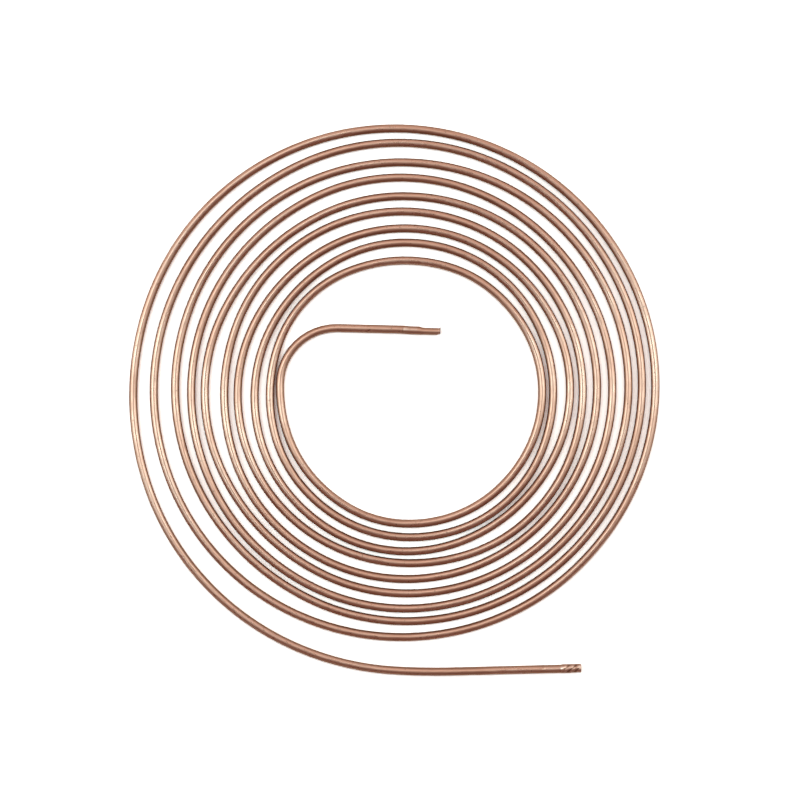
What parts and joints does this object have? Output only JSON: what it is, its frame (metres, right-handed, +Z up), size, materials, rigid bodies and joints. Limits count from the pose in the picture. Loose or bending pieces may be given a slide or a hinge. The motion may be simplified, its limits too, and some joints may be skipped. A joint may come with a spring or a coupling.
{
  "type": "copper tube coil",
  "caption": "Flat open coil of round copper tube lying in one plane, with a straight inner end across its eye and a straight outer end.",
  "frame": {"origin": "on the floor that the coil lies on, under the middle of its outline", "axes": "+X along the outer end, pointing out of it; +Y from the outer end towards the coil; +Z up"},
  "size_m": [0.305, 0.317, 0.0048],
  "materials": {
    "copper": "bright drawn copper, slightly dulled by handling"
  },
  "bodies": {
    "root": {"copper_tube": "copper"}
  },
  "joints": []
}
